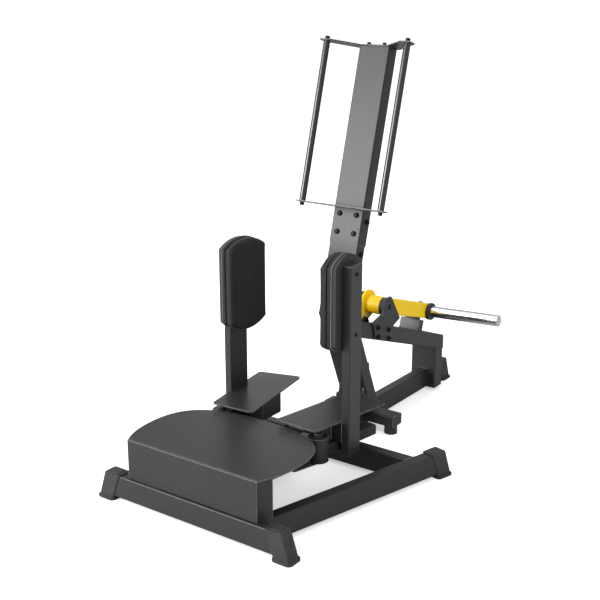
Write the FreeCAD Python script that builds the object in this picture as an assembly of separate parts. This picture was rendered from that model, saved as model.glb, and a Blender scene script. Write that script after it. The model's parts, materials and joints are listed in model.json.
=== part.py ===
"""Plate-loaded standing hip abductor.

A low base frame carries a leaning handle column, a step deck and two footplate arms that swing
outward about vertical spindles. A cross-headed yoke turns that swing into a pull on a rear weight
lever with one plate horn. Millimetres, +Z up, +X to the user's right, +Y from the deck to the rear.
Everything is laid out from the front face of the base (y = 0) and moved at the end, so that the
origin lies on the floor at the middle of the object's box.
"""
import FreeCAD
import Part
import math
import os

V = FreeCAD.Vector
X, Y, Z = V(1, 0, 0), V(0, 1, 0), V(0, 0, 1)

# Base frame
TUBE_W, TUBE_H = 47.0, 86.0          # section of every base tube
WALL = 3.0                           # wall of the base tubes
CORNER = 5.0                         # outer corner radius of the rectangular tubes
CLEARANCE = 16.0                     # floor to the underside of the base tubes
BASE_TOP = CLEARANCE + TUBE_H
FRONT_HALF = 392.0                   # half length of the front tube
RAIL_X, RAIL_SPLAY = 261.7, 15.0     # rail centreline at y = 0, and its outward angle
RAIL_END = 870.0
CROSS_Y = 716.0                      # front face of the middle cross tube
UPRIGHT_Y, UPRIGHT_W, UPRIGHT_D = 1626.0, 124.0, 69.0
TAIL_END = 1803.0

# Rubber foot caps
CAP_WALL, CAP_TOP_LEN, CAP_SLOPE = 3.5, 67.0, 35.0
CAP_FLANGE, CAP_FLANGE_H = 8.0, 9.0
CAP_PANEL_W, CAP_PANEL_L, CAP_PANEL_H = 34.0, 44.0, 1.8   # raised panel on top of each cap

# Handle column
COL_W, COL_D = 136.0, 60.0
CORE_W, CORE_D, CORE_INSET = 131.0, 57.0, 1.5   # the core that the upper column slides on
COL_LEAN = 15.3                      # upper column leans to the rear
COL_FRONT_Y, COL_FRONT_Z = 905.0, 678.0   # a point on its front face
COL_TOP, COL_SEAM, COL_KINK = 919.0, 146.0, -150.0   # distances up the lean from that point
LOW_LEAN = 23.5                      # lower column leans to the front
LOW_FRONT_Y, LOW_FRONT_Z = 963.0, 333.0

# Top beam
BEAM_W, BEAM_D, BEAM_DROP = 124.0, 64.5, 19.0
BEAM_TOP_Y, BEAM_TOP_Z = 1474.0, 332.0

# Step deck
DECK_TOP, DECK_T = 253.0, 4.0
DECK_FRONT_Y, DECK_HALF = 10.0, 288.0
DECK_SIDE = 58.0                     # depth of the front panel's folded ends

# Footplate arms (right arm; the left one is its mirror image)
HUB_X, HUB_Y, HUB_R = 222.0, 455.0, 38.0
ARM_YAW = 9.3                        # outward angle of the arm tube at rest
ARM_BOTTOM, ARM_H, ARM_W = 143.0, 44.0, 50.0
ARM_OUTER_X, ARM_OUTER_Y, ARM_END = 248.0, 598.0, 765.0
PLATE_TOP, PLATE_T = 272.0, 6.0
BOX_INNER_X, BOX_Y0, BOX_Y1 = 96.0, 542.0, 658.0
POST_X, POST_Y, POST_W, POST_D = 267.0, 598.0, 34.0, 92.0
POST_TOE = 6.6                       # posts and pads are toed in
POST_BOTTOM, POST_TOP = 136.0, 850.0
PAD_D, PAD_H, PAD_T, BOARD_T = 195.0, 359.0, 49.0, 15.0
PAD_BOTTOM, PAD_SHIFT = 527.0, -3.5
SPINDLE_R, RUN_GAP = 12.0, 0.05
CRANK_REACH, DRIVE_PIN_R = 85.0, 7.0
SWING_LIFT = 4.0                     # arm parts above the fixed spindle plate

# Drive linkage, all of it left of the middle
YOKE_Z0, YOKE_T = 166.0, 12.0
ROD_X0, ROD_X1 = -28.0, -16.0        # the pull rod and the drop link
CRANK_X0, CRANK_X1 = -39.0, -29.0    # the bell crank and the lever's crank, beside them
BELL_Y, BELL_Z = 1145.0, 250.0
BELL_IN, BELL_OUT = 78.0, 45.0       # its lower and its front arm
LINK_PIN_R, LINK_SLACK = 7.0, 1.5

# Weight lever
PIVOT_Y, PIVOT_Z = 1190.0, 513.0
SLEEVE_R, SLEEVE_HALF = 38.0, 40.0
LEVER_W, LEVER_H, LEVER_DROP, LEVER_LEN = 64.0, 68.0, 17.0, 467.0
HORN_R, HORN_LEN, HORN_TILT, HORN_BACK = 25.0, 326.0, 2.7, 435.0
HORN_ROOT_R, COLLAR_T, COLLAR_R = 20.0, 15.0, 38.5   # the horn's root inside its rubber collar
CRANK_PIN_Y, CRANK_PIN_Z = 1105.0, 453.0

FLANGE_R, SHELF_X = 58.0, 17.0
CRANK_SHELF = [(1138, 436), (1205, 448), (1205, 456), (1138, 444)]   # its (y, z) outline

# Handles
BAR_X, BAR_GAP, BAR_R = 180.3, 63.3, 13.0


# ---------------------------------------------------------------- helpers
def face_of(points, radius=0.0):
    """A flat face through points, with its corners rounded to radius."""
    if not radius:
        return Part.Face(Part.makePolygon(points + points[:1]))
    edges, count, ends = [], len(points), []
    for i, point in enumerate(points):
        before = (points[i - 1] - point).normalize()
        after = (points[(i + 1) % count] - point).normalize()
        half = before.getAngle(after) / 2
        step = radius / math.tan(half)
        middle = (before + after).normalize() * (radius / math.sin(half) - radius)
        ends.append((point + before * step, point + middle, point + after * step))
    for i, (start, middle, end) in enumerate(ends):
        edges.append(Part.Arc(start, middle, end).toShape())
        following = ends[(i + 1) % count][0]
        if end.distanceToPoint(following) > 1e-6:
            edges.append(Part.LineSegment(end, following).toShape())
    return Part.Face(Part.Wire(edges))


def rect(width, height, radius=0.0, z0=0.0):
    """A rectangle in the XZ plane, centred on X."""
    half = width / 2
    return face_of([V(-half, 0, z0), V(half, 0, z0), V(half, 0, z0 + height), V(-half, 0, z0 + height)],
                   radius)


def bar(width, height, length, radius=CORNER):
    """A solid bar along +Y from the origin, standing on z = 0."""
    return rect(width, height, radius).extrude(V(0, length, 0))


def tube(width, height, length, wall=WALL, radius=CORNER):
    """A hollow rectangular tube along +Y from the origin, standing on z = 0."""
    inner = rect(width - 2 * wall, height - 2 * wall, max(radius - wall, 0.8), wall)
    return bar(width, height, length, radius).cut(inner.extrude(V(0, length, 0)))


def box(x0, x1, y0, y1, z0, z1):
    return Part.makeBox(x1 - x0, y1 - y0, z1 - z0, V(x0, y0, z0))


def rod(start, end, radius):
    line = end - start
    return Part.makeCylinder(radius, line.Length, start, line)


def turn(shape, angle, axis=Z, centre=V(0, 0, 0)):
    shape = shape.copy()
    shape.rotate(centre, axis, angle)
    return shape


def move(shape, x=0.0, y=0.0, z=0.0):
    shape = shape.copy()
    shape.translate(V(x, y, z))
    return shape


def mirror(shape):
    return shape.mirror(V(0, 0, 0), X)


def plate_yz(points, x0, thickness, radius=0.0):
    """A flat plate that lies in the YZ plane, from its (y, z) corners."""
    return face_of([V(x0, y, z) for y, z in points], radius).extrude(V(thickness, 0, 0))


def plate_xy(points, z0, thickness, radius=0.0):
    return face_of([V(x, y, z0) for x, y in points], radius).extrude(V(0, 0, thickness))


def hex_bolt(point, direction, across=13.0, head=6.0, shank=8.0, length=14.0):
    """A hexagon head outside a surface point, with its washer and shank."""
    corners = [V(across / math.sqrt(3) * math.cos(math.radians(60 * i)),
                 across / math.sqrt(3) * math.sin(math.radians(60 * i)), 0) for i in range(6)]
    solid = face_of(corners).extrude(V(0, 0, head))
    solid.translate(V(0, 0, 1.5))
    solid = solid.fuse(Part.makeCylinder(across * 0.72, 1.5))
    solid = solid.fuse(Part.makeCylinder(shank / 2, length, V(0, 0, -length)))
    solid.Placement = FreeCAD.Placement(V(*point), FreeCAD.Rotation(Z, direction))
    return solid


def dome_bolt(point, direction, radius=9.0, height=5.0, shank=8.0, length=14.0):
    """A button head with a shank into the surface."""
    sphere = (radius ** 2 + height ** 2) / (2 * height)
    head = Part.makeSphere(sphere, V(0, 0, height - sphere)).common(Part.makeCylinder(radius, height))
    solid = head.fuse(Part.makeCylinder(shank / 2, length, V(0, 0, -length)))
    solid.Placement = FreeCAD.Placement(V(*point), FreeCAD.Rotation(Z, direction))
    return solid


def lean(shape, angle, y, z):
    """Tilt a shape about the X axis through the origin, then put the origin at (y, z)."""
    return move(turn(shape, -angle, X), 0, y, z)


def round_link(p0, p1, radius, x0, thickness):
    """A flat bar with round ends between two points of the YZ plane."""
    a, b = V(x0, *p0), V(x0, *p1)
    side = (b - a).cross(X).normalize() * radius
    out = (b - a).normalize() * radius
    wire = Part.Wire([Part.makeLine(a + side, b + side), Part.Arc(b + side, b + out, b - side).toShape(),
                      Part.makeLine(b - side, a - side), Part.Arc(a - side, a - out, a + side).toShape()])
    return Part.Face(wire).extrude(V(thickness, 0, 0))


def hole_x(y, z, radius, x0=-200.0, x1=200.0):
    return Part.makeCylinder(radius, x1 - x0, V(x0, y, z), X)


NODES = {}


def node(name, *solids):
    NODES[name] = list(solids)


# ---------------------------------------------------------------- base frame
front_tube = move(turn(tube(TUBE_W, TUBE_H, 2 * FRONT_HALF), -90), -FRONT_HALF, TUBE_W / 2, CLEARANCE)
node("front_crossmember", front_tube)

rail_slope = math.tan(math.radians(RAIL_SPLAY))
rail_length = RAIL_END / math.cos(math.radians(RAIL_SPLAY))


def rail(maker):
    shape = maker(TUBE_W, TUBE_H, rail_length)
    shape = move(turn(shape, -RAIL_SPLAY), RAIL_X, 0, CLEARANCE)
    return shape.cut(box(0, 2000, -500, TUBE_W, -100, 500))


right_rail = rail(tube)
node("right_side_rail", right_rail)
node("left_side_rail", mirror(right_rail))

cross_half = RAIL_X + rail_slope * (CROSS_Y + TUBE_W)
cross_tube = move(turn(tube(TUBE_W, TUBE_H, 2 * cross_half), -90), -cross_half, CROSS_Y + TUBE_W / 2,
                  CLEARANCE)
solid_rail = rail(bar)
cross_tube = cross_tube.cut(solid_rail).cut(mirror(solid_rail))
cross_tube = max(cross_tube.Solids, key=lambda solid: solid.Volume)
node("mid_crossmember", cross_tube)

node("front_spine", move(tube(TUBE_W, TUBE_H, CROSS_Y - TUBE_W), 0, TUBE_W, CLEARANCE))
node("rear_spine", move(tube(TUBE_W, TUBE_H, UPRIGHT_Y - CROSS_Y - TUBE_W), 0, CROSS_Y + TUBE_W,
                        CLEARANCE))
tail_start = UPRIGHT_Y + UPRIGHT_D
node("tail_tube", move(tube(TUBE_W, TUBE_H, TAIL_END - tail_start), 0, tail_start, CLEARANCE))

# Top beam and the upright under it
beam_tan = math.tan(math.radians(BEAM_DROP))


def beam_top(y):
    return BEAM_TOP_Z - beam_tan * (y - BEAM_TOP_Y)


beam_low = BEAM_D / math.cos(math.radians(BEAM_DROP))    # vertical thickness of the sloping beam
beam_front_y = 840.0
beam_length = (tail_start - beam_front_y) / math.cos(math.radians(BEAM_DROP)) + 60


def beam_shape(maker):
    shape = maker(BEAM_W, BEAM_D, beam_length)
    return lean(shape, BEAM_DROP, beam_front_y, beam_top(beam_front_y) - beam_low)


under_beam = plate_yz([(UPRIGHT_Y - 10, beam_top(UPRIGHT_Y - 10) - beam_low),
                       (tail_start + 10, beam_top(tail_start + 10) - beam_low),
                       (tail_start + 10, 600), (UPRIGHT_Y - 10, 600)], -100, 200)
upright = turn(tube(UPRIGHT_W, UPRIGHT_D, 400), 90, X)
upright = move(upright, 0, UPRIGHT_Y + UPRIGHT_D, CLEARANCE)
node("rear_upright", upright.cut(under_beam))


# Handle column: a lower leg that leans forward, a short core and the bolted upper column
def column_part(maker, start, end, width=COL_W, depth=COL_D, inset=0.0):
    """A stretch of the leaning column; its local Y runs up the lean, its front face on the left."""
    shape = turn(maker(width, depth, end - start), 90, X)
    shape = move(shape, 0, depth + inset, start)
    return lean(shape, COL_LEAN, COL_FRONT_Y, COL_FRONT_Z)


upper = column_part(tube, COL_SEAM, COL_TOP)
core = column_part(lambda w, d, n: tube(w, d, n, 4.0, 4.0), COL_KINK - 60, COL_SEAM, CORE_W,
                   CORE_D, CORE_INSET)
core_solid = column_part(bar, COL_KINK - 60, COL_SEAM, CORE_W, CORE_D, CORE_INSET)


def low_front(z):
    return LOW_FRONT_Y - (z - LOW_FRONT_Z) * math.tan(math.radians(LOW_LEAN))


foot_plate_t = 8.0
column_foot_z = BASE_TOP + foot_plate_t


def low_column(maker):
    shape = turn(maker(COL_W, COL_D, 620), 90, X)
    shape = move(shape, 0, COL_D, -320)
    shape = lean(shape, -LOW_LEAN, LOW_FRONT_Y, LOW_FRONT_Z)
    return shape.cut(box(-200, 200, 700, 1500, -300, column_foot_z))


# The two columns meet on a mitre through their front and rear corners
lean_tan, low_tan = math.tan(math.radians(COL_LEAN)), math.tan(math.radians(LOW_LEAN))


def kink(depth):
    """The (y, z) where the two column faces meet, depth behind their front faces."""
    front = COL_FRONT_Y + depth / math.cos(math.radians(COL_LEAN)) - lean_tan * COL_FRONT_Z
    rear = LOW_FRONT_Y + depth / math.cos(math.radians(LOW_LEAN)) + low_tan * LOW_FRONT_Z
    z = (rear - front) / (lean_tan + low_tan)
    return front + lean_tan * z, z


(kink_y0, kink_z0), (kink_y1, kink_z1) = kink(0), kink(COL_D)
mitre = (kink_z1 - kink_z0) / (kink_y1 - kink_y0)
mitre_ends = [(y, kink_z0 + mitre * (y - kink_y0)) for y in (600, 1300)]
above_kink = plate_yz(mitre_ends + [(1300, 1500), (600, 1500)], -300, 600)
below_kink = plate_yz(mitre_ends + [(1300, 0), (600, 0)], -300, 600)

rod_slot = box(ROD_X0 - 4, ROD_X1 + 4, 900, 1140, YOKE_Z0 - 8, YOKE_Z0 + YOKE_T + 8)
node("lower_column", low_column(tube).cut(above_kink).cut(rod_slot))
node("column_core", core.cut(below_kink))
node("upper_column", upper)

low_solid = low_column(bar).cut(above_kink)
beam = beam_shape(tube).cut(low_solid).cut(core_solid)
beam = beam.cut(box(-200, 200, tail_start, 2400, -100, 900))
drop_slot = box(ROD_X0 - 2, ROD_X1 + 3, CRANK_PIN_Y - 21, CRANK_PIN_Y + 40, 300, 600)
pocket_end = CRANK_PIN_Y + 84        # the lever crank's shelf and its bolt dip into this pocket
drop_slot = drop_slot.fuse(box(CRANK_X0 - 3, SHELF_X + 4, CRANK_PIN_Y - 21, pocket_end,
                               beam_top(pocket_end) - 8, 600))
beam = max(beam.Solids, key=lambda solid: solid.Volume).cut(drop_slot)
node("top_beam", beam)

foot_front = low_front(column_foot_z) - 62
foot_rear = low_front(column_foot_z) + COL_D / math.cos(math.radians(LOW_LEAN)) + 8
column_foot = box(-70, 70, foot_front, foot_rear, BASE_TOP, column_foot_z)
gusset_z = 205.0
gusset_points = [(foot_front + 6, column_foot_z), (low_front(column_foot_z), column_foot_z),
                 (low_front(gusset_z), gusset_z)]
for side in (-60.0, 52.0):
    column_foot = column_foot.fuse(plate_yz(gusset_points, side, 8.0))
node("column_foot", column_foot.removeSplitter())

# Outriggers beside the column foot, each on a round rubber foot
OUT_Y, OUT_D, OUT_Z0, OUT_H, OUT_X = 1072.0, 70.0, 38.0, 46.0, 170.0
OUT_FOOT_R = 27.0
out_tube = turn(tube(OUT_D, OUT_H, OUT_X - TUBE_W / 2, WALL, 4.0), -90)
out_tube = move(out_tube, TUBE_W / 2, OUT_Y + OUT_D / 2, OUT_Z0)
out_plug = box(OUT_X - 4, OUT_X, OUT_Y + 2, OUT_Y + OUT_D - 2, OUT_Z0 + 2, OUT_Z0 + OUT_H - 2)
out_tube = out_tube.fuse(out_plug).removeSplitter()
out_foot = Part.makeCylinder(OUT_FOOT_R, OUT_Z0, V(OUT_X - 30, OUT_Y + OUT_D / 2, 0))
node("outrigger_tubes", out_tube, mirror(out_tube))
node("outrigger_feet", out_foot, mirror(out_foot))


# ---------------------------------------------------------------- foot caps
def loft(low, high):
    return Part.makeLoft([low.OuterWire, high.OuterWire], True, True)


def cap_section(u0, u1, half, z, radius):
    return face_of([V(-half, u0, z), V(half, u0, z), V(half, u1, z), V(-half, u1, z)], radius)


def foot_cap():
    """A rubber shoe pushed on a tube that ends at y = 0; its walls slope outward to a flange."""
    top = BASE_TOP + CAP_WALL
    half = TUBE_W / 2 + CAP_WALL
    outer_low = cap_section(-CAP_TOP_LEN + CAP_SLOPE, CAP_SLOPE + 2, half + 1.5, CAP_FLANGE_H, 8.0)
    outer_high = cap_section(-CAP_TOP_LEN, 4.5, half, top, 5.0)
    flange = cap_section(-CAP_TOP_LEN + CAP_SLOPE - 4, CAP_SLOPE + CAP_FLANGE, half + CAP_FLANGE, 0, 16.0)
    flange = flange.extrude(V(0, 0, CAP_FLANGE_H))
    panel_mid = (4.5 - CAP_TOP_LEN) / 2
    raised = cap_section(panel_mid - CAP_PANEL_L / 2, panel_mid + CAP_PANEL_L / 2, CAP_PANEL_W / 2, top, 5.0)
    raised = raised.extrude(V(0, 0, CAP_PANEL_H)).cut(
        Part.makeCylinder(3.0, CAP_PANEL_H, V(0, panel_mid, top + CAP_PANEL_H / 2)))
    shoe = loft(outer_low, outer_high).fuse(flange).fuse(raised)
    return shoe.cut(move(bar(TUBE_W, TUBE_H, 200), 0, -200, CLEARANCE))


cap = foot_cap()
front_cap = move(turn(cap, -90), FRONT_HALF, TUBE_W / 2, 0)
rail_tip = RAIL_X + rail_length * math.sin(math.radians(RAIL_SPLAY))
rail_cap = move(turn(cap, -RAIL_SPLAY), rail_tip, RAIL_END, 0)
tail_cap = move(cap, 0, TAIL_END, 0)
node("foot_caps", front_cap, mirror(front_cap), rail_cap, mirror(rail_cap), tail_cap)

# ---------------------------------------------------------------- step deck
deck_outline = [(DECK_HALF, DECK_FRONT_Y + 6), (318, 85), (331, 170), (328, 245), (304, 318), (252, 372),
                (170, 408), (85, 422)]
curve_points = [V(x, y, DECK_TOP - DECK_T) for x, y in deck_outline]
curve_points += [V(0, 425, DECK_TOP - DECK_T)]
curve_points += [V(-x, y, DECK_TOP - DECK_T) for x, y in reversed(deck_outline)]
deck_curve = Part.BSplineCurve()
deck_curve.interpolate(curve_points)
deck_edge = deck_curve.toShape()
deck_face = Part.Face(Part.Wire([deck_edge, Part.makeLine(curve_points[-1], curve_points[0])]))
node("deck_top_plate", deck_face.extrude(V(0, 0, DECK_T)))

panel_low, panel_t = BASE_TOP + 3.0, 3.0
panel = box(-DECK_HALF, DECK_HALF, DECK_FRONT_Y, DECK_FRONT_Y + 5.7, panel_low, DECK_TOP)
panel = panel.makeFillet(5.0, [edge for edge in panel.Edges
                               if edge.BoundBox.ZMin > DECK_TOP - 1 and edge.BoundBox.YMax < DECK_FRONT_Y + 1])
for side in (-1, 1):
    wing = [(side * DECK_HALF, DECK_FRONT_Y + 1), (side * (DECK_HALF + 22), DECK_FRONT_Y + DECK_SIDE),
            (side * (DECK_HALF + 19), DECK_FRONT_Y + DECK_SIDE),
            (side * (DECK_HALF - 3.4), DECK_FRONT_Y + 1)]
    panel = panel.fuse(plate_xy(wing, panel_low, DECK_TOP - DECK_T - panel_low))
node("deck_front_panel", panel.removeSplitter())

# Fixed arm brackets under the deck, their cross tie, and the vertical spindles
arm_dir = V(math.sin(math.radians(ARM_YAW)), math.cos(math.radians(ARM_YAW)), 0)
arm_side = V(arm_dir.y, -arm_dir.x, 0)
arm_root = V(ARM_OUTER_X, ARM_OUTER_Y, 0) - arm_side * (ARM_W / 2)


def along_arm(distance):
    """A point on the arm's centreline, distance from the y of the post."""
    return arm_root + arm_dir * distance


def arm_piece(start, end, z0, height, maker=tube, width=ARM_W):
    shape = turn(maker(width, height, end - start), -ARM_YAW)
    point = along_arm(start)
    return move(shape, point.x, point.y, z0)


bracket = arm_piece(-586, -190, ARM_BOTTOM, ARM_H)
node("pivot_brackets", bracket, mirror(bracket))

tie = move(turn(tube(55, ARM_BOTTOM - BASE_TOP, 360), -90), -180, 197, BASE_TOP)
leg_x = along_arm(-570).x
legs = [box(side * leg_x - 20, side * leg_x + 20, 18, TUBE_W, BASE_TOP, ARM_BOTTOM) for side in (-1, 1)]
node("bracket_supports", tie, *legs)
deck_props = []
for distance in (-500.0, -330.0):
    point = along_arm(distance)
    prop = box(point.x - 18, point.x + 18, point.y - 18, point.y + 18, ARM_BOTTOM + ARM_H,
               DECK_TOP - DECK_T)
    deck_props += [prop, mirror(prop)]
node("deck_supports", *deck_props)

spindle_plate_t = 7.0
spindle_plate = plate_xy([(HUB_X - 54, HUB_Y - 120), (HUB_X - 18, HUB_Y - 120), (HUB_X + 18, HUB_Y + 12),
                          (HUB_X - 20, HUB_Y + 16)], ARM_BOTTOM - spindle_plate_t, spindle_plate_t, 9.0)
hub_low, hub_high = ARM_BOTTOM + 0.5, 236.0
spindle = Part.makeCylinder(SPINDLE_R, 244 - ARM_BOTTOM + spindle_plate_t,
                            V(HUB_X, HUB_Y, ARM_BOTTOM - spindle_plate_t))
spindle = spindle.fuse(spindle_plate).removeSplitter()
nut = Part.makeCylinder(15, 12, V(HUB_X, HUB_Y, hub_high + 1))
nut = nut.cut(Part.makeCylinder(SPINDLE_R, 244 - hub_high, V(HUB_X, HUB_Y, hub_high)))
node("pivot_spindles", spindle, mirror(spindle), nut, mirror(nut))

# ---------------------------------------------------------------- footplate arms
tube_start = (HUB_Y - ARM_OUTER_Y) / arm_dir.y
arm_tube = arm_piece(tube_start, (ARM_END - ARM_OUTER_Y) / arm_dir.y, ARM_BOTTOM + SWING_LIFT,
                     ARM_H - SWING_LIFT).cut(Part.makeCylinder(HUB_R, 200, V(HUB_X, HUB_Y, 100)))
arm_tube = arm_tube.cut(box(0, HUB_X, 300, HUB_Y + 20, 0, 400))
arm_tube = max(arm_tube.Solids, key=lambda solid: solid.Volume)

hub = Part.makeCylinder(HUB_R, hub_high - hub_low, V(HUB_X, HUB_Y, hub_low))
crank_z = YOKE_Z0 - 14.0
pin_x = HUB_X - CRANK_REACH
crank_bar = plate_xy([(pin_x - 14, HUB_Y - 14), (HUB_X, HUB_Y - 18), (HUB_X, HUB_Y + 18),
                      (pin_x - 14, HUB_Y + 14)], crank_z, 12.0, 9.0)
drive_pin = Part.makeCylinder(DRIVE_PIN_R, 18 + YOKE_T, V(pin_x, HUB_Y, crank_z))
hub = hub.fuse(crank_bar).fuse(drive_pin).cut(
    Part.makeCylinder(SPINDLE_R + RUN_GAP, 300, V(HUB_X, HUB_Y, 50))).removeSplitter()

post_dir = V(-math.sin(math.radians(POST_TOE)), math.cos(math.radians(POST_TOE)), 0)


def post_frame(shape, x=0.0, y=0.0, z=0.0):
    """Put a shape drawn about the post's own axis in its toed-in place."""
    return move(turn(move(shape, x, y, z), POST_TOE), POST_X, POST_Y, 0)


post_outer = post_frame(Part.makeBox(POST_W, POST_D, 900, V(-POST_W / 2, -POST_D / 2, 0)))
post = turn(tube(POST_W, POST_D, POST_TOP - 4 - POST_BOTTOM, 2.5, 4.0), 90, X)
post = post_frame(post, 0, POST_D / 2, POST_BOTTOM)
lid = face_of([V(-POST_W / 2, -POST_D / 2, 0), V(POST_W / 2, -POST_D / 2, 0),
               V(POST_W / 2, POST_D / 2, 0), V(-POST_W / 2, POST_D / 2, 0)], 4.0).extrude(V(0, 0, 4))
post_lid = post_frame(lid, 0, 0, POST_TOP - 4)
arm_tube = arm_tube.cut(post_outer)
arm_tube = max(arm_tube.Solids, key=lambda solid: solid.Volume)

box_z0 = ARM_BOTTOM + ARM_H
box_top = PLATE_TOP - PLATE_T
cradle = turn(tube(BOX_Y1 - BOX_Y0, box_top - box_z0, 240, WALL, 5.0), -90)
cradle = move(cradle, BOX_INNER_X, (BOX_Y0 + BOX_Y1) / 2, box_z0).cut(post_outer)
cradle = max(cradle.Solids, key=lambda solid: solid.Volume)
cradle_end = box(BOX_INNER_X, BOX_INNER_X + WALL, BOX_Y0 + 1, BOX_Y1 - 1, box_z0 + 1, box_top - 1)
cradle = cradle.fuse(cradle_end).removeSplitter()
cradle = cradle.cut(box(post_outer.BoundBox.XMin + 20, 600, 300, 900, 0, 400))
cradle = max(cradle.Solids, key=lambda solid: solid.Volume)
lug = arm_piece(tube_start + 46, tube_start + 86, box_z0, box_top - box_z0, bar, 12.0)

plate_corners = [(55, 424), (237, 413), (301, 788), (127, 838)]
footplate = plate_xy(plate_corners, box_top, PLATE_T, 14.0).cut(post_outer)
footplate = max(footplate.Solids, key=lambda solid: solid.Volume)

# The pad: a plywood board bolted to the post, and a cushion with arched ends
PAD_ARCH = 34.0


def pad_slab(thickness, offset, shrink):
    """A slab in the YZ plane with arched top and bottom, thickness towards the user."""
    half, low, high = PAD_D / 2 - shrink, PAD_BOTTOM + shrink, PAD_BOTTOM + PAD_H - shrink
    corners = [V(0, -half, low + PAD_ARCH), V(0, -half, high - PAD_ARCH), V(0, 0, high),
               V(0, half, high - PAD_ARCH), V(0, half, low + PAD_ARCH), V(0, 0, low)]
    wire = Part.Wire([Part.makeLine(corners[0], corners[1]),
                      Part.Arc(corners[1], corners[2], corners[3]).toShape(),
                      Part.makeLine(corners[3], corners[4]),
                      Part.Arc(corners[4], corners[5], corners[0]).toShape()])
    slab = Part.Face(wire).extrude(V(-thickness, 0, 0))
    return post_frame(slab, -POST_W / 2 - offset, PAD_SHIFT, 0)


board = pad_slab(BOARD_T, 0, 4.0)
cushion = pad_slab(PAD_T, BOARD_T, 0)
pad_bolts = []
for z in (592.0, 814.0):
    point = post_frame(Part.Vertex(V(POST_W / 2, 0, z))).Point
    pad_bolts.append(dome_bolt(point, V(post_dir.y, -post_dir.x, 0), 9.0, 5.0, 8.0, 2.5))

for side, flip in (("right", lambda shape: shape), ("left", mirror)):
    node(side + "_arm_hub", flip(hub))
    node(side + "_arm_tube", flip(arm_tube))
    node(side + "_plate_cradle", flip(cradle), flip(lug))
    node(side + "_footplate", flip(footplate))
    node(side + "_pad_post", flip(post), flip(post_lid))
    node(side + "_pad_board", flip(board))
    node(side + "_pad_cushion", flip(cushion))
    node(side + "_pad_bolts", *[flip(bolt) for bolt in pad_bolts])

# ---------------------------------------------------------------- drive linkage
slot_half = DRIVE_PIN_R + 1.4
head = box(-166, 166, HUB_Y - 18, HUB_Y + 18, YOKE_Z0, YOKE_Z0 + YOKE_T)
for side in (-1, 1):
    centres = [side * (pin_x - 6), side * (HUB_X - CRANK_REACH * 0.85)]
    low, high = min(centres), max(centres)
    head = head.cut(box(low, high, HUB_Y - slot_half, HUB_Y + slot_half, 0, 400))
    for x in centres:
        head = head.cut(Part.makeCylinder(slot_half, 300, V(x, HUB_Y, 50)))
push_z = BELL_Z - BELL_IN
pull_rod = box(ROD_X0, ROD_X1, HUB_Y, BELL_Y - 8, YOKE_Z0, YOKE_Z0 + YOKE_T)
paddle = round_link((BELL_Y, push_z), (BELL_Y, push_z + 16), 19.0, ROD_X0, ROD_X1 - ROD_X0)
paddle = paddle.cut(round_link((BELL_Y, push_z - 1), (BELL_Y, push_z + 15), LINK_PIN_R + LINK_SLACK,
                               ROD_X0 - 5, 40.0))
pull_rod = pull_rod.cut(hole_x(BELL_Y, push_z, 12.0)).fuse(paddle)
node("drive_yoke", head.fuse(pull_rod).removeSplitter())

guides = []
for y in (560.0, 958.0):
    block = box(ROD_X0 - 8, ROD_X1 + 8, y, y + 30, BASE_TOP, YOKE_Z0 + YOKE_T + 8)
    guides.append(block.cut(box(ROD_X0 - 0.3, ROD_X1 + 0.3, y - 5, y + 45, YOKE_Z0 - 0.3,
                                YOKE_Z0 + YOKE_T + 0.3)))
node("yoke_guides", *guides)

# Bell crank behind the column: the yoke pushes its lower arm, its front arm pulls the drop link down
crank_w = CRANK_X1 - CRANK_X0
bell = round_link((BELL_Y, BELL_Z), (BELL_Y, push_z), 14.0, CRANK_X0, crank_w).fuse(
    round_link((BELL_Y, BELL_Z), (BELL_Y - BELL_OUT, BELL_Z), 14.0, CRANK_X0, crank_w))
for y, z in ((BELL_Y, push_z), (BELL_Y - BELL_OUT, BELL_Z)):
    bell = bell.fuse(hole_x(y, z, LINK_PIN_R, CRANK_X0, ROD_X1 + 2))
bell = bell.cut(hole_x(BELL_Y, BELL_Z, LINK_PIN_R + RUN_GAP))
node("bell_crank", bell.removeSplitter())

stand_x = ROD_X1 + 3.0
bell_stand = plate_yz([(foot_rear + 1, BASE_TOP), (foot_rear + 45, BASE_TOP), (BELL_Y + 14, BELL_Z + 14),
                       (BELL_Y - 14, BELL_Z + 14)], stand_x, 10.0)
bell_stand = bell_stand.fuse(hole_x(BELL_Y, BELL_Z, LINK_PIN_R, CRANK_X0 - 3, stand_x)).removeSplitter()
node("bell_crank_stand", bell_stand)

link_y = BELL_Y - BELL_OUT
link = round_link((link_y, BELL_Z), (CRANK_PIN_Y, CRANK_PIN_Z), 12.0, ROD_X0, ROD_X1 - ROD_X0)
link = link.cut(hole_x(CRANK_PIN_Y, CRANK_PIN_Z, LINK_PIN_R + RUN_GAP))
link = link.cut(round_link((link_y, BELL_Z - 1), (link_y, BELL_Z + 1), LINK_PIN_R + 1.8, ROD_X0 - 5, 40.0))
node("drop_link", link)

# ---------------------------------------------------------------- weight lever
PLATE_X = BEAM_W / 2
slope = V(0, math.cos(math.radians(BEAM_DROP)), -math.sin(math.radians(BEAM_DROP)))


def on_beam(y, down):
    """A (y, z) point on the beam's side, down from its top edge."""
    return (y, beam_top(y) - down)


bracket_outline = [on_beam(1088, 62), on_beam(1206, 62), on_beam(1218, 2), (1281, 444), (1206, 556),
                   (1152, 556), (1140, 495), on_beam(1060, -2), on_beam(1076, 12)]
lever_bracket = plate_yz(bracket_outline, PLATE_X, 8.0, 3.0)
lever_bracket = lever_bracket.cut(hole_x(PIVOT_Y, PIVOT_Z, 15.0))
node("lever_brackets", lever_bracket, mirror(lever_bracket))

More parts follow.
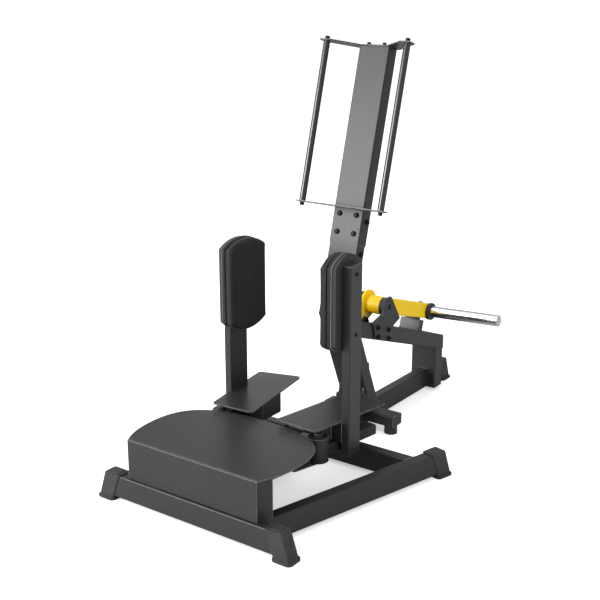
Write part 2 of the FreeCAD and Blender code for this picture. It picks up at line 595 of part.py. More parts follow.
bracket_bolts = []
for y, down in ((1104, 14), (1190, 14), (1108, 52), (1192, 52)):
    point_y, point_z = on_beam(y, down)
    for side in (-1, 1):
        bracket_bolts.append(hex_bolt((side * (PLATE_X + 8), point_y, point_z), X * side, 16.0, 7.0,
                                      10.0, 8.0))
node("bracket_bolts", *bracket_bolts)

axle = hole_x(PIVOT_Y, PIVOT_Z, 15.0, -PLATE_X - 8, PLATE_X + 8)
node("lever_axle", axle)
rings = []
for side in (-1, 1):
    low, high = sorted((side * (SLEEVE_HALF + 0.5), side * PLATE_X))
    ring = hole_x(PIVOT_Y, PIVOT_Z, 36.5, low, high).cut(hole_x(PIVOT_Y, PIVOT_Z, 15.0))
    rings.append(ring)
node("lever_bearings", *rings)

sleeve = hole_x(PIVOT_Y, PIVOT_Z, SLEEVE_R, -SLEEVE_HALF, SLEEVE_HALF)
sleeve_bore = hole_x(PIVOT_Y, PIVOT_Z, 15.0 + RUN_GAP)
lever_arm = turn(tube(LEVER_W, LEVER_H, LEVER_LEN, 3.5, 5.0), 0)
lever_arm = move(lever_arm, 0, 0, -LEVER_H / 2)
lever_arm = lean(lever_arm, LEVER_DROP, PIVOT_Y, PIVOT_Z).cut(sleeve)
lever_arm = max(lever_arm.Solids, key=lambda solid: solid.Volume)
lever_dir = V(0, math.cos(math.radians(LEVER_DROP)), -math.sin(math.radians(LEVER_DROP)))
end_plate = lean(move(bar(LEVER_W, LEVER_H, 4.0), 0, LEVER_LEN, -LEVER_H / 2), LEVER_DROP, PIVOT_Y, PIVOT_Z)
node("lever_arm", lever_arm, end_plate)

crank = round_link((PIVOT_Y, PIVOT_Z), (CRANK_PIN_Y, CRANK_PIN_Z), 15.0, CRANK_X0, crank_w)
crank = crank.fuse(hole_x(PIVOT_Y, PIVOT_Z, FLANGE_R, CRANK_X0, CRANK_X1))
crank = crank.fuse(hole_x(CRANK_PIN_Y, CRANK_PIN_Z, LINK_PIN_R, CRANK_X0, ROD_X1 + 2))
crank = crank.fuse(plate_yz(CRANK_SHELF, CRANK_X1, SHELF_X - CRANK_X1))
crank = crank.cut(hole_x(PIVOT_Y, PIVOT_Z, SLEEVE_R)).cut(
    lean(move(bar(LEVER_W, LEVER_H, 500), 0, 0, -LEVER_H / 2), LEVER_DROP, PIVOT_Y, PIVOT_Z))
crank = max(crank.Solids, key=lambda solid: solid.Volume)
node("lever_crank", crank.removeSplitter())
shelf_bolt = hex_bolt((SHELF_X - 31, 1152, 446.5), V(0, -0.17, 0.985), 15.0, 9.0, 9.0, 8.0)
top_y = PIVOT_Y + 0.88 * LEVER_LEN * math.cos(math.radians(LEVER_DROP))
top_z = PIVOT_Z - math.tan(math.radians(LEVER_DROP)) * (top_y - PIVOT_Y) \
    + LEVER_H / 2 / math.cos(math.radians(LEVER_DROP))
lever_up = V(0, math.sin(math.radians(LEVER_DROP)), math.cos(math.radians(LEVER_DROP)))
node("lever_bolts", shelf_bolt, dome_bolt((0, top_y, top_z), lever_up, 11.0, 5.0, 8.0, 3.5))
node("pivot_sleeve", sleeve.cut(sleeve_bore))

horn_root = V(LEVER_W / 2, PIVOT_Y, PIVOT_Z) + lever_dir * HORN_BACK
horn_dir = V(math.cos(math.radians(HORN_TILT)), 0, math.sin(math.radians(HORN_TILT)))
horn_step = horn_root + horn_dir * COLLAR_T
lever_side = box(-100, LEVER_W / 2, 1000, 2000, 0, 900)
horn = rod(horn_step, horn_root + horn_dir * (HORN_LEN + COLLAR_T), HORN_R)
horn = horn.fuse(rod(horn_root - horn_dir * 4, horn_step, HORN_ROOT_R)).cut(lever_side)
collar = rod(horn_root - horn_dir * 4, horn_step, COLLAR_R).cut(lever_side)
collar = collar.cut(rod(horn_root - horn_dir * 10, horn_step, HORN_ROOT_R))
node("plate_horn", horn)
node("horn_collar", collar)


def lever_under(y):
    return PIVOT_Z - math.tan(math.radians(LEVER_DROP)) * (y - PIVOT_Y) \
        - LEVER_H / 2 / math.cos(math.radians(LEVER_DROP))


# The rest leans with the beam it stands on; its rubber sits just under the lever
rest_y, rest_d, bumper_t = 1478.0, 40.0, 8.0
rest_low, rest_rise = 0.6, 300.0
above_beam = [(rest_y - 100, beam_top(rest_y - 100)), (rest_y + 200, beam_top(rest_y + 200))]


def under_lever(gap):
    """The region between the beam's top and a plane gap below the lever."""
    return plate_yz(above_beam + [(rest_y + 200, lever_under(rest_y + 200) - gap),
                                  (rest_y - 100, lever_under(rest_y - 100) - gap)], -200, 400)


def leaning_block(half, depth0, depth1):
    block = box(-half, half, depth0, depth1, -60, rest_rise)
    return lean(block, BEAM_DROP, rest_y, beam_top(rest_y))


rest = leaning_block(48, 0, rest_d).common(under_lever(bumper_t + 0.3))
inner = leaning_block(44.5, 3.5, rest_d - 3.5).common(under_lever(bumper_t + 4.5))
rest = rest.cut(inner)
bumper = leaning_block(30, 4, rest_d - 4).common(under_lever(0.3)).cut(under_lever(bumper_t + 0.3))
node("lever_rest", rest)
node("rest_bumper", bumper)

# ---------------------------------------------------------------- handles
BRACKET_T = 5.0
BAR_LOW = 291.0                      # the lower plate's top, up the lean


def on_column(shape):
    """Put a shape drawn in the column's own frame (x, out to the rear, up the lean) in place."""
    return lean(shape, COL_LEAN, COL_FRONT_Y, COL_FRONT_Z)


def wing_plate(up, reach, inner, rear):
    """A winged plate: a centre piece on the column and two wings that come forward to the bars."""
    right = [(inner - 6, -6), (BAR_X - 20, -BAR_GAP - 22), (BAR_X + reach, -BAR_GAP - 22),
             (BAR_X + reach, -BAR_GAP + 20), (inner + 12, rear)]
    left = [(-x, y) for x, y in reversed(right)]
    return plate_xy(right + left, up, BRACKET_T)


top_plate = on_column(wing_plate(COL_TOP, 20, COL_W / 2, COL_D))
low_plate = on_column(plate_xy([(-BAR_X - 20, -BAR_GAP - 17), (BAR_X + 20, -BAR_GAP - 17),
                                (BAR_X + 20, -BAR_GAP + 17), (COL_W / 2, 0), (-COL_W / 2, 0),
                                (-BAR_X - 20, -BAR_GAP + 17)], BAR_LOW - BRACKET_T, BRACKET_T))
bars = []
for side in (-1, 1):
    grip = Part.makeCylinder(BAR_R, COL_TOP - BAR_LOW, V(side * BAR_X, -BAR_GAP, BAR_LOW))
    bars.append(on_column(grip))
node("handlebars", *bars)
node("handle_top_plate", top_plate)
node("handle_low_plate", low_plate)

column_up = V(0, math.sin(math.radians(COL_LEAN)), math.cos(math.radians(COL_LEAN)))
column_out = V(0, -math.cos(math.radians(COL_LEAN)), math.sin(math.radians(COL_LEAN)))


def column_point(x, out, up):
    return V(x, COL_FRONT_Y, COL_FRONT_Z) + column_out * out + column_up * up


column_bolts = [hex_bolt(column_point(x, 0, up), column_out, 16.0, 7.0, 10.0, 3.0)
                for x in (-38.5, 38.5) for up in (192.0, 264.0)]
for half, y, z in ((COL_W / 2, 1004.5, 903.0), (CORE_W / 2, 967.5, 781.0)):
    for side in (-1, 1):
        column_bolts.append(hex_bolt((side * half, y, z), X * side, 16.0, 7.0, 10.0, 3.0))
node("column_bolts", *column_bolts)
handle_bolts = []
for x in (-35.0, 35.0):
    handle_bolts.append(hex_bolt(column_point(x, -14.0, COL_TOP + BRACKET_T), column_up, 15.0, 9.0,
                                 8.0, BRACKET_T))
for side in (-1, 1):
    handle_bolts.append(hex_bolt(column_point(side * BAR_X, BAR_GAP, COL_TOP + BRACKET_T), column_up,
                                 17.0, 12.0, 10.0, BRACKET_T))
    handle_bolts.append(hex_bolt(column_point(side * BAR_X, BAR_GAP, BAR_LOW - BRACKET_T),
                                 column_up * -1, 17.0, 12.0, 10.0, BRACKET_T))
node("handle_bolts", *handle_bolts)

# ---------------------------------------------------------------- output
every = Part.makeCompound([solid for solids in NODES.values() for solid in solids])
middle_y = (every.BoundBox.YMin + every.BoundBox.YMax) / 2
os.makedirs("parts", exist_ok=True)
for name, solids in NODES.items():
    shape = solids[0] if len(solids) == 1 else Part.makeCompound(solids)
    shape = move(shape, 0, -middle_y, 0)
    assert shape.isValid(), name
    shape.exportStep("parts/" + name + ".step")
print(len(NODES), "nodes, middle", middle_y, "box", every.BoundBox)
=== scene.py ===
"""Looks for the plate-loaded standing hip abductor: studio, finishes, upholstery and small trim."""
import json
import math

import bmesh
import bpy
from mathutils import Matrix, Vector


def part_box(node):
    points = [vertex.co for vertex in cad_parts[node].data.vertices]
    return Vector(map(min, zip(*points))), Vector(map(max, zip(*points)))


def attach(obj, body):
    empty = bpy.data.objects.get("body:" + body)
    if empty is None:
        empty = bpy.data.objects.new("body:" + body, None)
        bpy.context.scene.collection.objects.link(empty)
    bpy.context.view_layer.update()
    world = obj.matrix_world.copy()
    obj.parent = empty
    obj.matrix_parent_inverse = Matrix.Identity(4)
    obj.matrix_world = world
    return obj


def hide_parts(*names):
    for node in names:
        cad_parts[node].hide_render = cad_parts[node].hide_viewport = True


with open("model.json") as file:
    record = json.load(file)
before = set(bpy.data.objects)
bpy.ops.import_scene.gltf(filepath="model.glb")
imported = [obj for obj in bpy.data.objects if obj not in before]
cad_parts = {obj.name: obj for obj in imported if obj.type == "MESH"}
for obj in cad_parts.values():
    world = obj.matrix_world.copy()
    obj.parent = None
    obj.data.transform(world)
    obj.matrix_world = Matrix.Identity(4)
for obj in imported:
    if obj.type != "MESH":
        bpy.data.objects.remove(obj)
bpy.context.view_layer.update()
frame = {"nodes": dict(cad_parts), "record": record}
nodes = frame["nodes"]
scene = bpy.context.scene

# Lengths are in metres, angles in degrees and powers in watts, unless a comment or math.radians
# says otherwise.

# ---------------------------------------------------------------- studio sizes
AIM = (0, 0, 0.6)
LIGHTS = (          # name, place, width, height, power, whether it shows in highlights
    ("key", (-3.2, -5.2, 2.4), 3.4, 2.8, 360, True),
    ("top", (-0.4, 0.6, 5.0), 5.0, 5.0, 60, True),
    ("back", (-4.4, 5.4, 1.6), 1.6, 1.0, 12, True),
    # It lights paint and chrome without a second glare on the dark sides.
    ("side_fill", (4.5, -1.5, 2.6), 3.0, 3.0, 120, False))
SUN_STRENGTH, SUN_WIDTH, SUN_TURN = 1.3, 70, (34, -20)      # W/m2, degrees, degrees about X and Y
SKY_TINT, SKY_STRENGTH = (0.95, 0.965, 1.0, 1.0), 0.50
WHITE = (1.0, 1.0, 1.0, 1.0)
PAPER, PAPER_GLOW = (0.90, 0.90, 0.90, 1.0), 0.46           # the floor as the camera sees it
FLOOR_SIZE = 60
CAMERA_PLACE, CAMERA_DOWN, CAMERA_TURN = (2.1875, -3.31875, 1.7623), 16.35, 35.61
SENSOR_MM, LENS_MM, FAR_CLIP = 36.0, 62.88, 100

# ---------------------------------------------------------------- paint sizes
EDGE_HIGHLIGHT_REACH, PAINT_ROUND = 0.0034, 0.0022        # reach of the painted edge highlight, radius of the edge
PEEL_DEPTH = 0.00010                            # depth of the orange peel

# ---------------------------------------------------------------- pad sizes
POST_TOE = math.radians(6.6)                    # how far the pad posts turn in, as in the CAD
POST_HALF, BOARD_T = 0.017, 0.015               # half the post's width, the board's thickness
PAD_HALF, PAD_ARCH, PAD_SHIFT = 0.0975, 0.034, -0.0035
ARC_STEPS = 10
FRONT_RINGS = (     # depth from the board's face, shrink of the outline, corner radius
    (0.0205, 0.007, 0.006), (0.0225, 0.001, 0.007), (0.041, 0.0, 0.008), (0.0495, 0.008, 0.006))
BASE_RINGS = (
    (0.001, 0.003, 0.006), (0.004, 0.0005, 0.007), (0.015, 0.0005, 0.007), (0.0195, 0.006, 0.006))
BASE_BEVEL = 0.0012
WELT, EDGE_TRIM = (0.0205, 0.0075, 0.007), (0.0015, 0.0018, 0.007)
WELT_RADIUS, EDGE_TRIM_RADIUS = 0.0017, 0.0020
FRONT_FILL, BASE_FILL = 0.9, 0.8
VOXEL, SWELL_CAP = 0.0038, 0.0022
CLOTH_FRAMES, CLOTH_QUALITY, CLOTH_MASS, CLOTH_PRESSURE, CLOTH_STIFFNESS = 20, 6, 0.3, 4.0, 18

# ---------------------------------------------------------------- trim sizes
BEAM_FALL, BEAM_DEPTH = math.radians(19.0), 0.0645      # the top beam, as in the CAD
PLUG_DEPTH, PLUG_CORNER, PLUG_GAP = 0.004, 0.006, 0.0002
PLUG_RINGS = (      # distance along the plug, shrink of the outline
    (-0.010, 0.004), (0.0, 0.004), (0.0, 0.0), (PLUG_DEPTH * 0.7, 0.0), (PLUG_DEPTH, 0.002))
PLUG_CORNERS = ((1, 1, 0), (-1, 1, 90), (-1, -1, 180), (1, -1, 270))    # sides in X and Z, start
PLUG_STEPS = 6
BEAD_RADIUS, BEAD_WAIST, BEAD_PITCH, BEAD_SIDES = 0.0026, 0.80, 0.0034, 8


# ---------------------------------------------------------------- shared steps
def placed(name, data):
    made = bpy.data.objects.new(name, data)
    scene.collection.objects.link(made)
    return made


def solid(name, bm):
    """Turn a bmesh into an object, with its faces outward."""
    bmesh.ops.recalc_face_normals(bm, faces=bm.faces)
    mesh = bpy.data.meshes.new(name)
    bm.to_mesh(mesh)
    bm.free()
    return placed(name, mesh)


def skin(bm, loops):
    """Faces between rings of points, and one over each end; solid() turns them outward."""
    for low, high in zip(loops, loops[1:]):
        for i in range(len(low)):
            j = (i + 1) % len(low)
            bm.faces.new((low[i], low[j], high[j], high[i]))
    bm.faces.new(loops[0])
    bm.faces.new(list(reversed(loops[-1])))


def evaluated_mesh(obj):
    depsgraph = bpy.context.evaluated_depsgraph_get()
    return bpy.data.meshes.new_from_object(obj.evaluated_get(depsgraph))


def apply_all(obj):
    bpy.context.view_layer.update()
    done = evaluated_mesh(obj)
    obj.modifiers.clear()
    obj.data = done


def shade_smooth(mesh):
    for polygon in mesh.polygons:
        polygon.use_smooth = True


def feed(tree, socket, value):
    """Link a socket, or set it to a number or a colour."""
    if isinstance(value, bpy.types.NodeSocket):
        tree.links.new(value, socket)
    elif isinstance(value, tuple) and socket.type == "RGBA":
        socket.default_value = (*value, 1.0)[:4]
    else:
        socket.default_value = value


# ---------------------------------------------------------------- studio
def area_light(name, place, width, height, power, glossy):
    data = bpy.data.lights.new(name, "AREA")
    data.shape, data.size, data.size_y, data.energy = "RECTANGLE", width, height, power
    light = placed(name, data)
    light.location = place
    light.rotation_euler = (Vector(AIM) - Vector(place)).to_track_quat("-Z", "Y").to_euler()
    light.visible_glossy = glossy


def seen_as(tree, hidden, seen):
    """A shader that the camera sees as one thing and every other ray as another."""
    path, mixed = tree.nodes.new("ShaderNodeLightPath"), tree.nodes.new("ShaderNodeMixShader")
    tree.links.new(path.outputs["Is Camera Ray"], mixed.inputs["Fac"])
    tree.links.new(hidden, mixed.inputs[1])
    tree.links.new(seen, mixed.inputs[2])
    return mixed.outputs[0]


def sky():
    """The camera sees white; the object is lit by something dimmer."""
    scene.world = bpy.data.worlds.new("studio")
    scene.world.use_nodes = True
    tree = scene.world.node_tree
    dim = tree.nodes["Background"]
    dim.inputs["Color"].default_value = SKY_TINT
    dim.inputs["Strength"].default_value = SKY_STRENGTH
    white = tree.nodes.new("ShaderNodeBackground")
    white.inputs["Color"].default_value = WHITE
    tree.links.new(seen_as(tree, dim.outputs[0], white.outputs[0]),
                   tree.nodes["World Output"].inputs["Surface"])


def studio():
    sky()
    sun_data = bpy.data.lights.new("fill_sun", "SUN")
    sun_data.energy, sun_data.angle = SUN_STRENGTH, math.radians(SUN_WIDTH)
    sun = placed("fill_sun", sun_data)
    sun.rotation_euler = (*map(math.radians, SUN_TURN), 0)
    for light in LIGHTS:
        area_light(*light)

    bpy.ops.mesh.primitive_plane_add(size=FLOOR_SIZE)
    floor = bpy.context.object
    floor.name = "floor"
    floor.data.materials.append(floor_finish())

    data = bpy.data.cameras.new("camera")
    data.sensor_width, data.lens, data.clip_end = SENSOR_MM, LENS_MM, FAR_CLIP
    camera = placed("camera", data)
    camera.location = CAMERA_PLACE
    camera.rotation_euler = (math.radians(90 - CAMERA_DOWN), 0, math.radians(CAMERA_TURN))
    scene.camera = camera
    scene.view_settings.view_transform = "Standard"


# ---------------------------------------------------------------- finishes
class Finish:
    """A principled material with short calls for the nodes that its finish is built from."""

    def __init__(self, name, metal=0.0):
        self.material = bpy.data.materials.new(name)
        self.material.use_nodes = True
        self.tree = self.material.node_tree
        self.shader = self.tree.nodes["Principled BSDF"]
        self.shader.inputs["Metallic"].default_value = metal
        self.coords = self.tree.nodes.new("ShaderNodeTexCoord").outputs["Object"]
        self.colour = self.rough = self.normal = None

    def node(self, kind, **inputs):
        made = self.tree.nodes.new("ShaderNode" + kind)
        for key, value in inputs.items():
            feed(self.tree, made.inputs[key.replace("_", " ")], value)
        return made

    def noise(self, scale, detail=2.0, rough=0.5, stretch=None):
        vector = self.coords
        if stretch:
            vector = self.node("Mapping", Vector=vector, Scale=stretch).outputs["Vector"]
        return self.node("TexNoise", Vector=vector, Scale=scale, Detail=detail,
                         Roughness=rough).outputs["Fac"]

    def cells(self, scale, feature):
        made = self.node("TexVoronoi", Vector=self.coords, Scale=scale)
        made.feature = feature
        return made.outputs["Distance"]

    def remap(self, value, low, high, start=0.3, end=0.7):
        return self.node("MapRange", Value=value, From_Min=start, From_Max=end, To_Min=low,
                         To_Max=high).outputs["Result"]

    def math(self, operation, a, b):
        made = self.tree.nodes.new("ShaderNodeMath")
        made.operation = operation
        feed(self.tree, made.inputs[0], a)
        feed(self.tree, made.inputs[1], b)
        return made.outputs[0]

    def mix(self, factor, first, second):
        made = self.tree.nodes.new("ShaderNodeMix")
        made.data_type = "RGBA"
        # In RGBA mode, input 0 is the factor, 6 and 7 are the colours, and output 2 is the result.
        for index, value in ((0, factor), (6, first), (7, second)):
            feed(self.tree, made.inputs[index], value)
        return made.outputs[2]

    def specular(self, level):
        self.shader.inputs["Specular IOR Level"].default_value = level

    def round_edges(self, radius):
        self.normal = self.node("Bevel", Radius=radius).outputs["Normal"]

    def bump(self, height, distance, strength):
        made = self.node("Bump", Height=height, Distance=distance, Strength=strength)
        if self.normal:
            self.tree.links.new(self.normal, made.inputs["Normal"])
        self.normal = made.outputs["Normal"]

    def edges(self, radius):
        """1 on edges, 0 on flat faces; the powder coats paint a highlight there, the bolts paint
        wear.
        """
        rounded = self.node("Bevel", Radius=radius).outputs["Normal"]
        flat = self.node("NewGeometry").outputs["Normal"]
        product = self.tree.nodes.new("ShaderNodeVectorMath")
        product.operation = "DOT_PRODUCT"
        self.tree.links.new(rounded, product.inputs[0])
        self.tree.links.new(flat, product.inputs[1])
        turned = self.math("SUBTRACT", 1.0, product.outputs["Value"])
        return self.remap(turned, 0.0, 1.0, start=0.03, end=0.35)

    def done(self):
        for name, value in (("Base Color", self.colour), ("Roughness", self.rough),
                            ("Normal", self.normal)):
            if value is not None:
                self.tree.links.new(value, self.shader.inputs[name])
        return self.material


def floor_finish():
    """Pale matt floor: the camera sees it lifted towards white, and it lights the object softly."""
    made = Finish("studio_floor")
    made.colour = made.mix(made.noise(scale=0.8), (0.46, 0.46, 0.465), (0.49, 0.49, 0.49))
    made.rough = made.remap(made.noise(scale=6.0), 0.5, 0.7)
    floor = made.done()
    tree = made.tree
    paper = made.node("BsdfDiffuse", Color=PAPER)
    glow = made.node("Emission", Color=WHITE, Strength=PAPER_GLOW)
    lifted = tree.nodes.new("ShaderNodeAddShader")
    tree.links.new(paper.outputs[0], lifted.inputs[0])
    tree.links.new(glow.outputs[0], lifted.inputs[1])
    tree.links.new(seen_as(tree, made.shader.outputs[0], lifted.outputs[0]),
                   tree.nodes["Material Output"].inputs["Surface"])
    return floor


def powder_coat(name, dark, light, rough, edge=(0.46, 0.46, 0.47), grain=PEEL_DEPTH, specular=0.5):
    """Sprayed powder: orange peel, slow colour drift, and a painted highlight along the edges, in
    patches.
    """
    made = Finish(name)
    body = made.mix(made.remap(made.noise(scale=3.5), 0.0, 1.0), dark, light)
    patches = made.remap(made.noise(scale=55.0, detail=3.0), 0.35, 1.0)
    # Painted highlight: the edge colour lightens the edges as if a rim light caught them.
    wear_and_edge_highlight = made.math("MULTIPLY", made.edges(EDGE_HIGHLIGHT_REACH), patches)
    made.colour = made.mix(wear_and_edge_highlight, body, edge)
    made.rough = made.remap(made.noise(scale=240.0, detail=3.0), *rough)
    made.round_edges(PAINT_ROUND)
    made.bump(made.noise(scale=900.0), grain, strength=0.6)
    made.specular(specular)
    return made.done()


def chrome_finish():
    """Plated steel with faint turning rings round the X axis and a few smudges."""
    made = Finish("chrome_plating", metal=1.0)
    rings = made.noise(scale=260.0, stretch=(1.0, 0.02, 0.02))
    smudge = made.noise(scale=14.0, detail=4.0, rough=0.6)
    made.colour = made.mix(smudge, (0.62, 0.63, 0.645), (0.80, 0.80, 0.81))
    made.rough = made.math("ADD", made.remap(smudge, 0.10, 0.22), made.remap(rings, 0.0, 0.10))
    made.round_edges(0.0015)
    made.bump(rings, 0.00004, strength=0.5)
    return made.done()


def rubber_finish(name, dark, light):
    made = Finish(name)
    made.colour = made.mix(made.remap(made.noise(scale=26.0, detail=4.0), 0.0, 1.0), dark, light)
    made.rough = made.remap(made.noise(scale=60.0, detail=3.0), 0.5, 0.66)
    made.round_edges(0.002)
    made.bump(made.noise(scale=1400.0, detail=3.0, rough=0.7), 0.00016, strength=0.7)
    return made.done()


def vinyl_finish():
    """Leathergrain vinyl: pebbles with creases between them."""
    made = Finish("grained_vinyl")
    pebbles = made.cells(620.0, "SMOOTH_F1")
    creases = made.cells(330.0, "DISTANCE_TO_EDGE")
    tone = made.remap(made.noise(scale=16.0, detail=3.0), 0.0, 1.0)
    made.colour = made.mix(tone, (0.010, 0.010, 0.0105), (0.015, 0.015, 0.016))
    made.rough = made.remap(made.noise(scale=120.0, detail=3.0), 0.50, 0.62)
    made.bump(pebbles, 0.00022, strength=0.5)
    made.bump(made.remap(creases, 0.0, 1.0, start=0.0, end=0.12), 0.00016, strength=0.6)
    made.specular(0.32)
    made.shader.inputs["Sheen Weight"].default_value = 0.04
    made.shader.inputs["Sheen Roughness"].default_value = 0.4
    return made.done()


def board_finish():
    """Painted plywood, with its grain along Z."""
    made = Finish("painted_plywood")
    grain = made.noise(scale=60.0, detail=4.0, rough=0.6, stretch=(1.0, 1.0, 0.08))
    made.colour = made.mix(grain, (0.012, 0.012, 0.012), (0.03, 0.029, 0.028))
    made.rough = made.remap(grain, 0.5, 0.75)
    made.bump(grain, 0.0004, strength=0.5)
    return made.done()


def hardware_finish():
    """Blackened bolts and pins, rubbed a little on the edges."""
    made = Finish("blackened_steel")
    wear_and_edge_highlight = made.math("MULTIPLY", made.edges(0.0009), made.noise(scale=300.0, detail=3.0))
    body = made.mix(made.noise(scale=160.0, detail=3.0), (0.003, 0.003, 0.0033),
                    (0.006, 0.006, 0.0065))
    made.colour = made.mix(wear_and_edge_highlight, body, (0.20, 0.20, 0.205))
    made.rough = made.remap(made.noise(scale=220.0, detail=3.0), 0.34, 0.50)
    made.specular(0.12)
    made.round_edges(0.0006)
    return made.done()


# The edge colours of these powder coats are painted highlights.
DARK = powder_coat("satin_black_powder", dark=(0.0150, 0.0152, 0.0162),
                   light=(0.0180, 0.0182, 0.0194), rough=(0.37, 0.43))
BAR_PAINT = powder_coat("bar_powder", dark=(0.012, 0.012, 0.013), light=(0.016, 0.016, 0.017),
                        rough=(0.17, 0.25), specular=0.9)
YELLOW = powder_coat("yellow_powder", dark=(0.90, 0.58, 0.005), light=(0.95, 0.63, 0.008),
                     rough=(0.26, 0.34), edge=(1.0, 0.76, 0.08), grain=0.00006, specular=0.30)
CHROME, VINYL, BOARD, HARDWARE = chrome_finish(), vinyl_finish(), board_finish(), hardware_finish()
RUBBER = rubber_finish("moulded_rubber", (0.018, 0.018, 0.019), (0.032, 0.032, 0.034))
NYLON = rubber_finish("nylon_ring", (0.02, 0.02, 0.021), (0.03, 0.03, 0.032))
TRIM = rubber_finish("pad_trim", (0.10, 0.10, 0.105), (0.16, 0.16, 0.165))
BY_SLOT = {"frame_paint": DARK, "handle_paint": BAR_PAINT, "lever_paint": YELLOW, "chrome": CHROME,
           "hardware": HARDWARE, "rubber": RUBBER, "upholstery": VINYL, "pad_board": BOARD,
           "bearing_plastic": NYLON}


def paint_nodes():
    """Give every CAD node the finish of its material slot."""
    for entry in frame["record"]["subparts"]:
        materials = nodes[entry["node"]].data.materials
        finish = BY_SLOT[entry["material_slot"]]
        for index in range(len(materials)):
            materials[index] = finish
        if not len(materials):
            materials.append(finish)


# ---------------------------------------------------------------- upholstery
def arched_outline(shrink, radius, z0, z1):
    """Points round a pad: straight sides, arched ends and rounded corners, as (across, up)."""
    half, low, high = PAD_HALF - shrink, z0 + shrink, z1 - shrink
    flat = half - radius
    bow = (half * half + PAD_ARCH * PAD_ARCH) / (2 * PAD_ARCH)
    bow_centre = high - bow
    inner = bow - radius
    corner = (flat, bow_centre + math.sqrt(inner * inner - flat * flat))
    start = math.atan2(corner[1] - bow_centre, corner[0])
    quarter = []
    for i in range(ARC_STEPS + 1):
        angle = start * i / ARC_STEPS
        quarter.append((corner[0] + radius * math.cos(angle), corner[1] + radius * math.sin(angle)))
    for i in range(1, ARC_STEPS + 1):
        angle = start + (math.pi / 2 - start) * i / ARC_STEPS
        quarter.append((bow * math.cos(angle), bow_centre + bow * math.sin(angle)))
    top = quarter + [(-x, z) for x, z in reversed(quarter[:-1])]
    centre = (low + high) / 2
    return top + [(-x, 2 * centre - z) for x, z in top]


def slab(name, back, rings, z0, z1):
    """A closed mesh lofted through outline rings, from the board's face outward."""
    bm = bmesh.new()
    skin(bm, [[bm.verts.new((-(back + depth), x, z))
               for x, z in arched_outline(shrink, radius, z0, z1)]
              for depth, shrink, radius in rings])
    return solid(name, bm)


def swell(obj, hold_from):
    """Let pressure push the cloth out. What lies behind hold_from, towards the post, stays put,
    and no point moves further than SWELL_CAP."""
    rest = [v.co.copy() for v in obj.data.vertices]
    pinned = obj.vertex_groups.new(name="held")
    pinned.add([i for i, p in enumerate(rest) if p.x > hold_from], 1.0, "REPLACE")
    cloth = obj.modifiers.new("cloth", "CLOTH")
    settings = cloth.settings
    settings.quality, settings.mass = CLOTH_QUALITY, CLOTH_MASS
    settings.use_pressure, settings.uniform_pressure_force = True, CLOTH_PRESSURE
    settings.tension_stiffness = settings.compression_stiffness = CLOTH_STIFFNESS
    settings.vertex_group_mass = "held"
    settings.effector_weights.gravity = 0.0
    cloth.point_cache.frame_start, cloth.point_cache.frame_end = 1, CLOTH_FRAMES
    for step in range(1, CLOTH_FRAMES + 1):
        scene.frame_set(step)
    apply_all(obj)
    scene.frame_set(1)
    for vertex, home in zip(obj.data.vertices, rest):
        shift = vertex.co - home
        if shift.length > SWELL_CAP:
            vertex.co = home + shift.normalized() * SWELL_CAP


def puff(obj, hold_from):
    """Remesh a closed form evenly, swell it and smooth it."""
    remesh = obj.modifiers.new("remesh", "REMESH")
    remesh.mode, remesh.voxel_size = "VOXEL", VOXEL
    apply_all(obj)
    swell(obj, hold_from)
    smooth = obj.modifiers.new("smooth", "CORRECTIVE_SMOOTH")
    smooth.iterations, smooth.use_only_smooth = 1, True
    fine = obj.modifiers.new("fine", "SUBSURF")
    fine.levels = fine.render_levels = 1
    apply_all(obj)
    shade_smooth(obj.data)
    return obj


def piping(name, back, ring, thickness, z0, z1):
    """A round cord sewn along an outline ring."""
    depth, shrink, radius = ring
    curve = bpy.data.curves.new(name, "CURVE")
    curve.dimensions = "3D"
    curve.bevel_depth, curve.bevel_resolution = thickness, 4
    points = arched_outline(shrink, radius, z0, z1)
    spline = curve.splines.new("POLY")
    spline.points.add(len(points) - 1)
    for point, (x, z) in zip(spline.points, points):
        point.co = (-(back + depth), x, z, 1)
    spline.use_cyclic_u = True
    cord = placed(name, curve)
    mesh = evaluated_mesh(cord)
    bpy.data.objects.remove(cord)
    shade_smooth(mesh)
    return placed(name, mesh)


def upholster():
    """Make one pad's soft parts, then copy them to both pads."""
    low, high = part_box("right_pad_cushion")
    z0, z1 = low[2], high[2]
    low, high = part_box("right_pad_post")
    post = (Vector(low) + Vector(high)) / 2
    back = POST_HALF + BOARD_T
    front = puff(slab("cushion_front", back, FRONT_RINGS, z0, z1), -(back + FRONT_RINGS[1][0]))
    base = slab("cushion_base", back, BASE_RINGS, z0, z1)
    bevel = base.modifiers.new("bevel", "BEVEL")
    bevel.width, bevel.segments = BASE_BEVEL, 3
    apply_all(base)
    welt = piping("welt", back, WELT, WELT_RADIUS, z0, z1)
    edge_trim = piping("edge_trim", back, EDGE_TRIM, EDGE_TRIM_RADIUS, z0, z1)
    parts = ((front, VINYL, FRONT_FILL), (base, VINYL, BASE_FILL), (welt, VINYL, None),
             (edge_trim, TRIM, None))
    for side, sign in (("right", 1), ("left", -1)):
        place = Matrix.Translation((sign * post.x, post.y, 0)) @ Matrix.Diagonal((sign, 1, 1, 1)) \
            @ Matrix.Rotation(POST_TOE, 4, "Z") @ Matrix.Translation((0, PAD_SHIFT, 0))
        for part, finish, fill in parts:
            copy = placed(side + "_" + part.name, part.data.copy())
            copy.data.transform(place)
            if sign < 0:
                copy.data.flip_normals()
            copy.data.materials.clear()
            copy.data.materials.append(finish)
            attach(copy, side + "_arm")
            if part is front:
                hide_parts(side + "_pad_cushion")
    for part, *_ in parts:
        bpy.data.objects.remove(part)


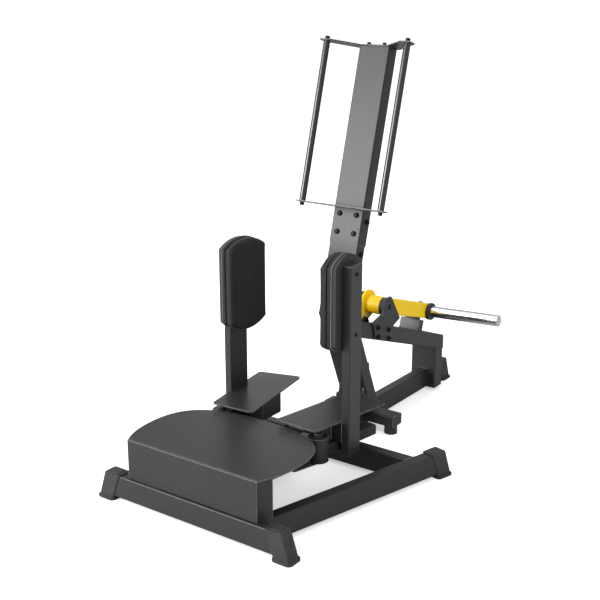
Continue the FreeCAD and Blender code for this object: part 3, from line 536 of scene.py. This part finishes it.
# ---------------------------------------------------------------- small trim
def beam_end_plug():
    """A moulded plug, guessed, that closes the top beam's rear end."""
    low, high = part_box("top_beam")
    width, height = high[0] - low[0], BEAM_DEPTH / math.cos(BEAM_FALL)
    bm = bmesh.new()
    loops = []
    for y, shrink in PLUG_RINGS:
        loop = []
        for side_x, side_z, start in PLUG_CORNERS:
            for step in range(PLUG_STEPS + 1):
                angle = math.radians(start + 90 // PLUG_STEPS * step)
                reach = PLUG_CORNER - shrink
                loop.append(bm.verts.new((
                    side_x * (width / 2 - PLUG_CORNER) + reach * math.cos(angle), y,
                    side_z * (height / 2 - PLUG_CORNER) + reach * math.sin(angle))))
        loops.append(loop)
    skin(bm, loops)
    plug = solid("beam_end_plug", bm)
    plug.data.materials.append(RUBBER)
    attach(plug, "frame")
    plug.data.transform(Matrix.Translation((0, high[1] + PLUG_GAP, low[2] + height / 2)))


def weld_bead(name, points, closed=False):
    """A rippled fillet weld laid along straight runs between points."""
    path = [Vector(p) for p in points]
    if closed:
        path.append(path[0])
    bm = bmesh.new()
    for start, end in zip(path, path[1:]):
        count = max(2, int((end - start).length / BEAD_PITCH))
        turn = (end - start).normalized().to_track_quat("Z", "Y").to_matrix().to_4x4()
        loops = []
        for i in range(2 * count + 1):
            centre = start.lerp(end, i / (2 * count))
            size = BEAD_RADIUS * (1.0 if i % 2 else BEAD_WAIST)
            angles = [math.radians(360 // BEAD_SIDES * k) for k in range(BEAD_SIDES)]
            loops.append([bm.verts.new(centre + turn @ Vector((size * math.cos(angle),
                                                               size * math.sin(angle), 0)))
                          for angle in angles])
        skin(bm, loops)
    bead = solid(name, bm)
    shade_smooth(bead.data)
    bead.data.materials.append(DARK)
    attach(bead, "frame")


def trim():
    """Welds round the main tube joints, and the plug in the top beam's rear end."""
    spine_low, spine_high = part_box("rear_spine")
    left, right, floor_z, top_z = spine_low[0], spine_high[0], spine_low[2], spine_high[2]
    low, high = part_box("rear_upright")
    for name, y in (("upright_front_weld", low[1]), ("upright_rear_weld", high[1])):
        weld_bead(name, [(left, y, floor_z), (left, y, top_z), (right, y, top_z),
                         (right, y, floor_z)])
    low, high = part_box("mid_crossmember")
    for name, y in (("cross_front_weld", low[1]), ("cross_rear_weld", high[1])):
        weld_bead(name, [(left, y, floor_z), (left, y, top_z)])
        weld_bead(name + "_right", [(right, y, floor_z), (right, y, top_z)])
    low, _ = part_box("column_foot")
    weld_bead("foot_plate_weld", [(left, low[1], low[2]), (right, low[1], low[2])])
    low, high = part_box("outrigger_tubes")
    for name, x in (("outrigger_weld_right", right), ("outrigger_weld_left", left)):
        weld_bead(name, [(x, low[1], low[2]), (x, low[1], high[2]), (x, high[1], high[2]),
                         (x, high[1], low[2])], closed=True)
    beam_end_plug()


paint_nodes()
studio()
upholster()
trim()
